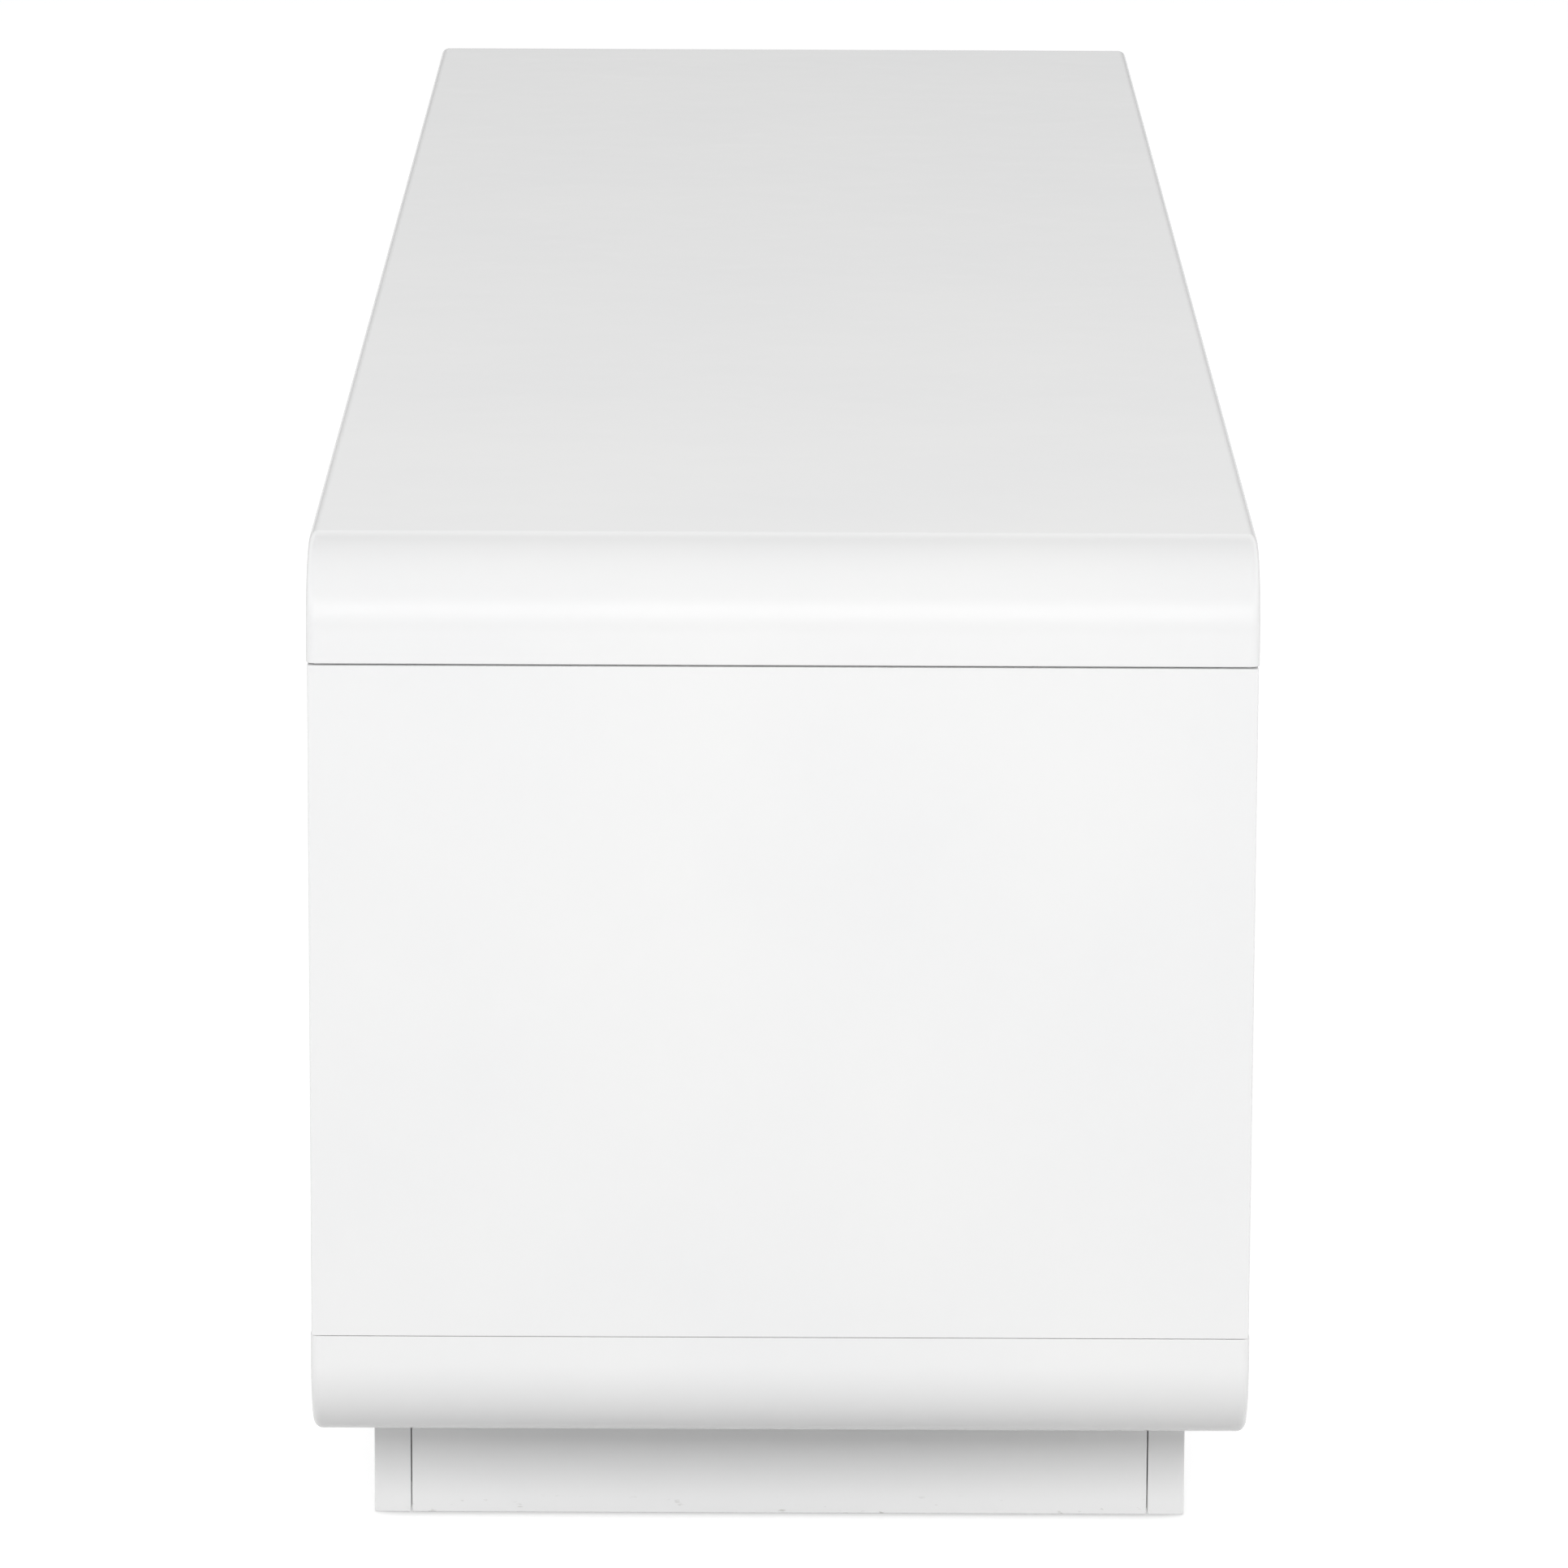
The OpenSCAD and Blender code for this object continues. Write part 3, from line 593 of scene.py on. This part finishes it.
def screws(node, axis, body, heads):
    """Domed cross-head screws on a CAD node's solids. axis points from the head to the tip, and heads
    is (head thickness, shank radius)."""
    axis = Vector(axis)
    bm, cuts = bmesh.new(), bmesh.new()
    along = max(range(3), key=lambda i: abs(axis[i]))
    for low, high in solids_of(node):
        at = middle(low, high)
        across = min(high[i] - low[i] for i in range(3) if i != along)
        head_r, long = across / 2, high[along] - low[along]
        at[along] = low[along] if axis[along] > 0 else high[along]
        head_t, shank_r = heads
        outline = [(0, 0), (head_r * 0.55, 0)]
        for a in (20, 40, 60, 80, 90):
            edge = head_r * (0.55 + 0.45 * math.sin(math.radians(a)))
            outline.append((edge, head_t * 0.85 * (1 - math.cos(math.radians(a)))))
        outline += [(head_r, head_t), (shank_r, head_t), (shank_r, long - shank_r), (0, long)]
        lathe(bm, outline, at, axis, 40)
        cross_cutter(cuts, at, axis, head_r * 1.15, head_r * 0.28, head_t * 0.9)
    obj = to_object(node + "_cross_head", bm)
    combine_meshes(obj, cuts, "DIFFERENCE")
    finish_piece(obj, body, "zinc", stands_for=[node])


def grommet(name):
    """A moulded cable ring with a rolled flange."""
    low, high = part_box(name)
    centre = middle(low, high)
    flange_r, depth = (high.x - low.x) / 2, high.y - low.y
    outer, bore = flange_r - 4 * MM, flange_r - 8 * MM
    outline = [(bore, depth)] + arc((bore + 1 * MM, 1 * MM), 1 * MM, 180, 270, 4)
    outline += arc((flange_r - 1.6 * MM, 1.6 * MM), 1.6 * MM, -90, 0, 6)
    outline += [(flange_r, 2 * MM), (outer, 2 * MM)]
    outline += [(outer, depth - 0.5 * MM), (outer - 0.5 * MM, depth), (bore, depth)]
    bm = bmesh.new()
    lathe(bm, outline, (centre.x, high.y, centre.z), (0, -1, 0), 96)
    bmesh.ops.remove_doubles(bm, verts=bm.verts, dist=1e-7)
    finish_piece(to_object(name + "_ring", bm), "cabinet", "white_plastic", stands_for=[name])


def plinth_board(name):
    low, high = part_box(name)
    lacquered = "cross" not in name
    bm = bmesh.new()
    board_box(bm, low, high, 0.6 * MM)
    finish_piece(to_object(name + "_panel", bm), "cabinet", "gloss_lacquer" if lacquered else "matt_melamine",
                 "plinth_lacquer" if lacquered else None, stands_for=[name])


def corner_blocks():
    bm = bmesh.new()
    for low, high in solids_of("plinth_corner_blocks"):
        board_box(bm, low, high, 1.2 * MM, segments=2)
    finish_piece(to_object("plinth_corner_blocks_beech", bm), "cabinet", "beech",
                 stands_for=["plinth_corner_blocks"])


def glides():
    bm = bmesh.new()
    for low, high in solids_of("plinth_glides"):
        at = middle(low, high)
        outline = disc_outline((high.x - low.x) / 2, high.z - low.z, 0.8 * MM)
        lathe(bm, outline, (at.x, at.y, high.z), (0, 0, -1), 48)
    finish_piece(to_object("plinth_glides_moulded", bm), "cabinet", "white_plastic",
                 stands_for=["plinth_glides"])


# ---------------------------------------------------------------- doors and their fittings

def door(side):
    """A lacquered door with its hinge cups bored in the back."""
    name = side + "_door"
    low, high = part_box(name)
    bm = bmesh.new()
    board_box(bm, low, high, DOOR_EASE, segments=5)
    obj = to_object(name + "_lacquered", bm)
    holes = bmesh.new()
    for cup_low, cup_high in solids_of(side + "_hinge_cups"):
        centre_z = middle(cup_low, cup_high).z
        hinge_x = low.x if SIDES[side] < 0 else high.x
        x = hinge_x - SIDES[side] * CUP_FROM_EDGE
        drill(holes, CUP_HOLE_R, CUP_HOLE_DEPTH, 2 * MM, (x, high.y, centre_z), (0, -1, 0), 64)
    combine_meshes(obj, holes, "DIFFERENCE")
    finish_piece(obj, side + "_door_leaf", "gloss_lacquer", stands_for=[name])


def eased_cad(node, slot, width=0.25 * MM):
    """Keeps a CAD node's shape, with its material and with slightly rounded edges."""
    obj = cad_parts[node]
    obj.data.materials.clear()
    obj.data.materials.append(MATERIALS[slot])
    weld = obj.modifiers.new("weld", "WELD")
    weld.merge_threshold = 1e-6
    ease = obj.modifiers.new("ease", "BEVEL")
    ease.width = width
    ease.segments = 2
    ease.limit_method = "ANGLE"
    ease.angle_limit = math.radians(40)
    ease.harden_normals = False


def latch_body(side):
    """The moulded body, with ears for its screws, the plunger's bore and grip slots underneath."""
    low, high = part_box(side + "_latch_body")
    centre = middle(low, high)
    half_w = 10 * MM
    bm = bmesh.new()
    board_box(bm, (centre.x - half_w, low.y, low.z), (centre.x + half_w, high.y, high.z), 1.2 * MM)
    obj = to_object(side + "_latch_body_moulded", bm)
    ears = bmesh.new()
    board_box(ears, (low.x, low.y + 6 * MM, high.z - 3 * MM), (high.x, high.y - 2 * MM, high.z), 0.6 * MM, 2)
    combine_meshes(obj, ears, "UNION")
    plunger = middle(*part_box(side + "_latch_plunger"))
    cuts = bmesh.new()
    drill(cuts, PLUNGER_HOLE_R, PLUNGER_HOLE_DEPTH, 1 * MM, (plunger.x, low.y, plunger.z), (0, 1, 0), 48)
    for slot in range(4):
        y = low.y + (16 + 9 * slot) * MM
        board_box(cuts, (centre.x - 6 * MM, y, low.z - 1 * MM),
                  (centre.x + 6 * MM, y + 4 * MM, low.z + 0.7 * MM), 0.3 * MM, 1)
    combine_meshes(obj, cuts, "DIFFERENCE")
    finish_piece(obj, "cabinet", "white_plastic", stands_for=[side + "_latch_body"])


def latch_plunger(side):
    low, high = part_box(side + "_latch_plunger")
    at = middle(low, high)
    radius, long = (high.x - low.x) / 2, high.y - low.y
    bm = bmesh.new()
    lathe(bm, [(0, 0), (radius, 0), (radius, long - 0.5 * MM), (radius - 0.5 * MM, long), (0, long)],
          (at.x, low.y, at.z), (0, 1, 0), 48)
    finish_piece(to_object(side + "_latch_plunger_turned", bm), side + "_latch_slider", "white_plastic",
                 stands_for=[side + "_latch_plunger"])


def latch_magnet(side):
    low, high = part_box(side + "_latch_magnet")
    at = middle(low, high)
    bm = bmesh.new()
    outline = disc_outline((high.x - low.x) / 2, high.y - low.y, 0.4 * MM)
    lathe(bm, outline, (at.x, high.y, at.z), (0, -1, 0), 48)
    finish_piece(to_object(side + "_latch_magnet_disc", bm), side + "_latch_slider", "magnet_nickel",
                 stands_for=[side + "_latch_magnet"])


def strike_plate(side):
    """The disc on the door's back that the magnet meets, with its screw shank."""
    low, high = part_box(side + "_strike_plate")
    door_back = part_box(side + "_door")[1].y
    at = middle(low, high)
    plate_t = high.y - door_back
    bm = bmesh.new()
    lathe(bm, disc_outline((high.x - low.x) / 2, plate_t, 0.5 * MM), (at.x, door_back, at.z), (0, 1, 0), 64)
    shank = [(0, 0), (1.75 * MM, 0), (1.75 * MM, -8 * MM), (0, -10 * MM)]
    lathe(bm, shank, (at.x, door_back, at.z), (0, 1, 0), 24)
    obj = to_object(side + "_strike_plate_disc", bm)
    cuts = bmesh.new()
    cross_cutter(cuts, (at.x, high.y, at.z), (0, -1, 0), 4.2 * MM, 1.1 * MM, 0.9 * MM)
    combine_meshes(obj, cuts, "DIFFERENCE")
    finish_piece(obj, side + "_door_leaf", "zinc", stands_for=[side + "_strike_plate"])


def wound_wire(bm, centre, start_y, length, coil_r):
    """Adds a coil of round wire along +Y, whose turns lie closer together at both ends."""
    steps, sides = 24, 12
    squeezed = 0.12             # share of the wire that is in the closer ends
    rings = []
    for i in range(steps * SPRING_TURNS + 1):
        part = i / (steps * SPRING_TURNS)
        a = 2 * math.pi * SPRING_TURNS * part
        rise = min(max((part - squeezed / 2) / (1 - squeezed), 0.0), 1.0)
        y = start_y + (0.1 * part + 0.9 * rise) * length
        ring = []
        for j in range(sides):
            b = 2 * math.pi * j / sides
            r = coil_r + SPRING_WIRE * math.cos(b)
            point = (centre.x + r * math.cos(a), y + SPRING_WIRE * math.sin(b), centre.z + r * math.sin(a))
            ring.append(bm.verts.new(point))
        rings.append(ring)
    for first, second in zip(rings, rings[1:]):
        for j in range(sides):
            k = (j + 1) % sides
            bm.faces.new((first[j], first[k], second[k], second[j]))
    bm.faces.new(rings[0])
    bm.faces.new(rings[-1])


def latch_spring(side):
    """The coil spring behind the plunger."""
    name = side + "_latch_spring"
    low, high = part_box(name)
    centre = middle(low, high)
    long = high.y - low.y
    bm = bmesh.new()
    wound_wire(bm, centre, low.y + SPRING_WIRE, long - 2 * SPRING_WIRE, (high.x - low.x) / 2 - SPRING_WIRE)
    obj = finish_piece(to_object(side + "_latch_spring_wound", bm), "cabinet", "bright_steel",
                       stands_for=[name])
    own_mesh(obj)


# ---------------------------------------------------------------- the stand

slab("top_slab", 1)
slab("bottom_slab", -1)
for side in SIDES:
    end_panel(side)
    divider(side)
    door(side)
    latch_body(side)
    latch_plunger(side)
    latch_magnet(side)
    strike_plate(side)
    latch_spring(side)
for bay in ("left", "middle", "right"):
    shelf(bay + "_shelf")
    shelf_pins(bay + "_shelf_pins")
    grommet(bay + "_cable_grommet")
cams()
eased_cad("back_panel", "back_board", 0.3 * MM)
eased_cad("cam_bolts", "bright_steel")
eased_cad("dowels", "beech")
for name in sorted(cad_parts):
    if name.startswith("plinth_") and name.endswith("_board"):
        plinth_board(name)
corner_blocks()
glides()
screws("plinth_screws", (0, 0, 1), "cabinet", (2 * MM, 2.5 * MM))
for side, sign in SIDES.items():
    leaf = side + "_door_leaf"
    for part in ("hinge_cups", "hinge_arms", "hinge_plates"):
        eased_cad(side + "_" + part, "bright_steel")
    eased_cad(side + "_hinge_pins", "zinc", 0.2 * MM)
    screws(side + "_cup_screws", (0, -1, 0), leaf, (1 * MM, 1.75 * MM))
    screws(side + "_plate_screws", (sign, 0, 0), "cabinet", (1 * MM, 1.75 * MM))
    screws(side + "_adjuster_screws", (sign, 0, 0), "cabinet", (1.6 * MM, 1.9 * MM))
    screws(side + "_latch_screws", (0, 0, 1), "cabinet", (1 * MM, 1.75 * MM))


# ---------------------------------------------------------------- studio

ROOM_LIGHT = 0.4            # the grey room, down at the horizon
PANEL_LIGHT = 1.1           # a wide soft panel beyond each end of the stand
PANEL_EDGES = (15, 28)      # its lower and upper edge, in degrees above the horizon
CEILING_STARTS = 43         # the panel has faded into the ceiling at this angle
CEILING_NEAR = 0.1          # dim beyond the stand's left end, so that its rounded edge has no hot band
CEILING_FAR = 0.6
FLOOR_WHITE = 0.60
BACKDROP_LIFT = 0.60        # lifts the floor to plain white, to the camera only
MIRRORED_LIFT = 0.40        # and a little less in reflections
OVERHEAD_POWER = 25         # watts
END_POWER = 105
SIDE_POWER = 38

LENS = 209.2                # mm, on a frame 36 mm wide
CAMERA_BEYOND_END = 3.741   # metres from the stand's left end
CAMERA_ASIDE = 0.0024
CAMERA_HEIGHT = 1.1625
CAMERA_TILT = 12.235        # degrees, downwards
CAMERA_YAW = 0.047
CAMERA_ROLL = 0.242


def studio_floor():
    """A plain white floor that runs past every view."""
    bm = bmesh.new()
    bmesh.ops.create_grid(bm, x_segments=1, y_segments=1, size=60)
    floor = to_object("floor", bm)
    m, nodes, shader = new_material("studio_floor", (FLOOR_WHITE, FLOOR_WHITE, FLOOR_WHITE), 0.9)
    shader.inputs["Specular IOR Level"].default_value = 0.0
    shader.inputs["Emission Color"].default_value = (1, 1, 1, 1)
    ray = nodes.nodes.new("ShaderNodeLightPath").outputs
    mirrored = combine(nodes, "MULTIPLY", ray["Is Glossy Ray"], MIRRORED_LIFT)
    seen = combine(nodes, "MULTIPLY", ray["Is Camera Ray"], BACKDROP_LIFT)
    nodes.links.new(combine(nodes, "MAXIMUM", seen, mirrored), shader.inputs["Emission Strength"])
    floor.data.materials.append(m)


def sky_ramp(nodes, height, ceiling):
    """Brightness by height, as a share of the panel's: room, panel, then ceiling."""
    bands = [(0, ROOM_LIGHT), (PANEL_EDGES[0], PANEL_LIGHT), (PANEL_EDGES[1], PANEL_LIGHT),
             (CEILING_STARTS, ceiling), (90, ceiling)]
    ramp = nodes.nodes.new("ShaderNodeValToRGB")
    elements = ramp.color_ramp.elements
    while len(elements) < len(bands):
        elements.new(0.5)
    for element, (elevation, level) in zip(elements, bands):
        element.position = math.sin(math.radians(elevation))
        share = level / PANEL_LIGHT
        element.color = (share, share, share, 1)
    nodes.links.new(height, ramp.inputs["Fac"])
    return ramp.outputs["Color"]


def studio_sky():
    """A wide soft panel beyond each end of the stand. The camera sees a plain white backdrop."""
    world = bpy.data.worlds.new("studio")
    world.use_nodes = True
    nodes = world.node_tree
    light = nodes.nodes["Background"]
    light.inputs["Strength"].default_value = PANEL_LIGHT
    where = nodes.nodes.new("ShaderNodeTexCoord")
    parts = nodes.nodes.new("ShaderNodeSeparateXYZ")
    nodes.links.new(where.outputs["Generated"], parts.inputs["Vector"])
    blend = nodes.nodes.new("ShaderNodeMix")
    blend.data_type = "RGBA"
    nodes.links.new(remap(nodes, parts.outputs["X"], 0, 1, start=-1, end=1), blend.inputs["Factor"])
    nodes.links.new(sky_ramp(nodes, parts.outputs["Z"], CEILING_NEAR), blend.inputs["A"])
    nodes.links.new(sky_ramp(nodes, parts.outputs["Z"], CEILING_FAR), blend.inputs["B"])
    nodes.links.new(blend.outputs["Result"], light.inputs["Color"])
    backdrop = nodes.nodes.new("ShaderNodeBackground")
    choose = nodes.nodes.new("ShaderNodeMixShader")
    nodes.links.new(nodes.nodes.new("ShaderNodeLightPath").outputs["Is Camera Ray"], choose.inputs["Fac"])
    nodes.links.new(light.outputs["Background"], choose.inputs[1])
    nodes.links.new(backdrop.outputs["Background"], choose.inputs[2])
    nodes.links.new(choose.outputs["Shader"], nodes.nodes["World Output"].inputs["Surface"])
    bpy.context.scene.world = world


def soft_light(name, at, towards, size, power):
    """A large lamp behind a diffuser, which doesn't show in reflections."""
    data = bpy.data.lights.new(name, "AREA")
    data.shape = "RECTANGLE"
    data.size, data.size_y = size
    data.energy = power
    light = bpy.data.objects.new(name, data)
    light.location = at
    light.rotation_euler = (Vector(towards) - Vector(at)).to_track_quat("-Z", "Y").to_euler()
    light.visible_glossy = False
    bpy.context.scene.collection.objects.link(light)


studio_floor()
studio_sky()
soft_light("overhead_light", (0, 0, 4.0), (0, 0, 0), (5.0, 3.0), OVERHEAD_POWER)
soft_light("end_light", (-4.8, 0, 2.1), (-0.8, 0, 0.25), (3.5, 1.2), END_POWER)
soft_light("front_light", (0, -4.5, 1.1), (0, 0, 0.25), (3.5, 1.0), SIDE_POWER)
soft_light("back_light", (0, 4.5, 1.1), (0, 0, 0.25), (3.5, 1.0), SIDE_POWER)


def photo_camera():
    """Looks along the stand from beyond its left end, a little from above."""
    data = bpy.data.cameras.new("camera")
    data.sensor_fit = "HORIZONTAL"
    data.sensor_width = 36
    data.lens = LENS
    data.clip_end = 200
    camera = bpy.data.objects.new("camera", data)
    tilt, roll, yaw = math.radians(CAMERA_TILT), math.radians(CAMERA_ROLL), math.radians(CAMERA_YAW)
    camera.location = (cad_box[0].x - CAMERA_BEYOND_END, CAMERA_ASIDE, CAMERA_HEIGHT)
    # it looks along +X, with -Y to the right of the picture
    forward = Vector((math.cos(tilt) * math.cos(yaw), -math.cos(tilt) * math.sin(yaw), -math.sin(tilt)))
    right = forward.cross(Vector((0, 0, 1))).normalized()
    up = right.cross(forward)
    turn = Matrix.Rotation(-roll, 3, forward)
    right, up = turn @ right, turn @ up
    camera.rotation_euler = Matrix((right, up, -forward)).transposed().to_euler()
    bpy.context.scene.collection.objects.link(camera)
    bpy.context.scene.camera = camera


photo_camera()
bpy.context.scene.view_settings.view_transform = "Standard"
